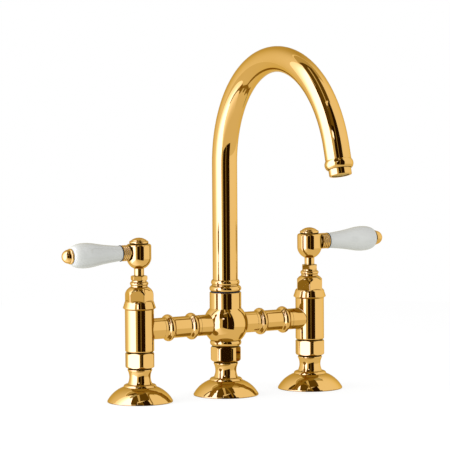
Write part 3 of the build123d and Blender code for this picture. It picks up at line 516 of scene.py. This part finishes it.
def cloth(name, level, shape, fade=None):
    """A cloth that polished metal mirrors; it neither lights nor shades the dull pieces."""
    bpy.ops.object.select_all(action="DESELECT")
    bpy.ops.mesh.primitive_grid_add(x_subdivisions=48, y_subdivisions=4, size=2)
    made = bpy.context.object
    made.name = name
    for corner in made.data.vertices:
        corner.co = shape((corner.co.x + 1) / 2, (corner.co.y + 1) / 2)
    made.data.materials.append(glow(name + "_cloth", level, fade))
    made.visible_camera = False
    made.visible_diffuse = False
    made.visible_shadow = False


cloth(
    "softbox",
    level=5.6,
    shape=flat(
        spot(-90.5, 0.335, -0.09),
        spot(-31, 4.37, floor_height),
        spot(-90.5, 0.335, 1.16),
        spot(-31, 4.37, 1.16),
    ),
    fade=(2.0, 0.05),
)
cloth(
    "lit_table",
    level=0.84,
    shape=flat(
        spot(-90.5, 0.335, -0.1),
        spot(17, 0.21, -0.1),
        spot(-31, 4.37, floor_height),
        spot(-25, 4.4, floor_height),
    ),
    fade=(2.0, 1.0),
)
cloth("grey_gap", level=0.66, shape=curved(-62, -14, 5, 5, floor_height, 3.0))
cloth("flag", level=0.02, shape=upright((-15.5, 4.85), (46, 2.74), flag_foot, flag_top))
cloth("flag_slit", level=0.42, shape=upright((9, 3.1), (12.5, 3.0), flag_foot, flag_top))
cloth("flag_patch", level=0.16, shape=upright((-12, 3.05), (15, 2.9), 2.5, 4.6))
cloth("bare_lamp", level=4.5, shape=upright((-18, 2.5), (-8, 2.5), 1.42, 1.72))
cloth(
    "overhead_flag",
    level=0.12,
    shape=flat(
        spot(-116.6, 3.02, overhead_flag_height),
        spot(157.9, 2.0, overhead_flag_height),
        spot(-35.8, 5.3, overhead_flag_height),
        spot(55.3, 3.16, overhead_flag_height),
    ),
)
cloth(
    "overhead_slit",
    level=0.7,
    shape=flat(
        spot(-139.6, 1.31, overhead_slit_height),
        spot(-160.7, 1.06, overhead_slit_height),
        spot(-8.3, 3.13, overhead_slit_height),
        spot(0.9, 3.1, overhead_slit_height),
    ),
)
cloth("dark_above", level=0.09, shape=curved(-100, -14, 5, 5, 3.0, 8.0))
cloth(
    "left_wall",
    level=1.0,
    shape=curved(-180, -93, wall_distance, wall_distance, wall_foot, wall_top),
    fade=(0.58, 1.0),
)
cloth(
    "right_wall",
    level=0.52,
    shape=curved(130, 180, wall_distance, wall_distance, wall_foot, wall_top),
    fade=(0.98, 1.0),
)
cloth(
    "studio_floor",
    level=0.8,
    shape=curved(-180, 180, 0.001, wall_distance, floor_height, floor_height),
)
cloth(
    "ceiling_back",
    level=0.56,
    shape=curved(120, 265, 0.001, 3.6, ceiling_height, ceiling_height),
)


def lamp(name, turn, far, height, size, power):
    """A square lamp: it lights the dull pieces, and metal does not mirror it."""
    place = spot(turn, far, height)
    bpy.ops.object.light_add(type="AREA", location=place)
    made = bpy.context.object
    made.name = name
    made.rotation_euler = (place - lamp_aim).to_track_quat("Z", "Y").to_euler()
    made.data.shape = "SQUARE"
    made.data.size = size
    made.data.energy = power
    made.visible_camera = False
    made.visible_glossy = False


lamp("softbox_lamp", turn=-64, far=2.0, height=0.5, size=1.8, power=55.0)
lamp("fill_lamp", turn=62, far=0.8, height=0.35, size=0.4, power=1.5)

table_radius = 0.9
table_drop = 0.0002  # below the gaskets, so that no two faces lie on each other
white = colour("#FFFFFF")
table_material, table_tree = new_material("table_top_white")
table_path = add(table_tree, "ShaderNodeLightPath", {})
table_cloth = add(table_tree, "ShaderNodeBsdfDiffuse", {"Color": colour("#888888")})
table_level = add(
    table_tree,
    "ShaderNodeMapRange",
    {"Value": table_path.outputs["Is Camera Ray"], "To Min": 0.58, "To Max": 0.82},
)
table_lift = add(
    table_tree,
    "ShaderNodeEmission",
    {"Color": white, "Strength": table_level.outputs["Result"]},
)
table_sum = add(
    table_tree,
    "ShaderNodeAddShader",
    {0: table_cloth.outputs["BSDF"], 1: table_lift.outputs["Emission"]},
)
finish_material(table_tree, table_sum.outputs["Shader"])
bpy.ops.object.select_all(action="DESELECT")
bpy.ops.mesh.primitive_circle_add(
    vertices=128, radius=table_radius, fill_type="NGON", location=(0, 0, -table_drop)
)
table = bpy.context.object
table.name = "white_table"
table.data.materials.append(table_material)
table.visible_glossy = False

world = bpy.data.worlds.new("white_room")
world.use_nodes = True
scene.world = world
world_tree = world.node_tree
world_tree.nodes.clear()
world_path = add(world_tree, "ShaderNodeLightPath", {})
seen = add(
    world_tree,
    "ShaderNodeMath",
    {0: world_path.outputs["Is Camera Ray"], 1: world_path.outputs["Is Glossy Ray"]},
    operation="MAXIMUM",
)
shown = add(
    world_tree,
    "ShaderNodeMath",
    {0: seen.outputs["Value"], 1: world_path.outputs["Is Transmission Ray"]},
    operation="MAXIMUM",
)
room_level = add(
    world_tree,
    "ShaderNodeMapRange",
    {"Value": shown.outputs["Value"], "To Min": 0.55, "To Max": 1.0},
)
room_deeper = add(
    world_tree,
    "ShaderNodeMapRange",
    {"Value": world_path.outputs["Ray Depth"], "From Min": 2.0, "From Max": 3.0},
)
room_seen = add(
    world_tree,
    "ShaderNodeBackground",
    {"Color": white, "Strength": room_level.outputs["Result"]},
)
room_deep = add(
    world_tree, "ShaderNodeBackground", {"Color": colour(deep_tint), "Strength": deep_level}
)
room = add(
    world_tree,
    "ShaderNodeMixShader",
    {
        0: room_deeper.outputs["Result"],
        1: room_seen.outputs["Background"],
        2: room_deep.outputs["Background"],
    },
)
add(world_tree, "ShaderNodeOutputWorld", {"Surface": room.outputs["Shader"]})

scene.view_settings.view_transform = "Standard"
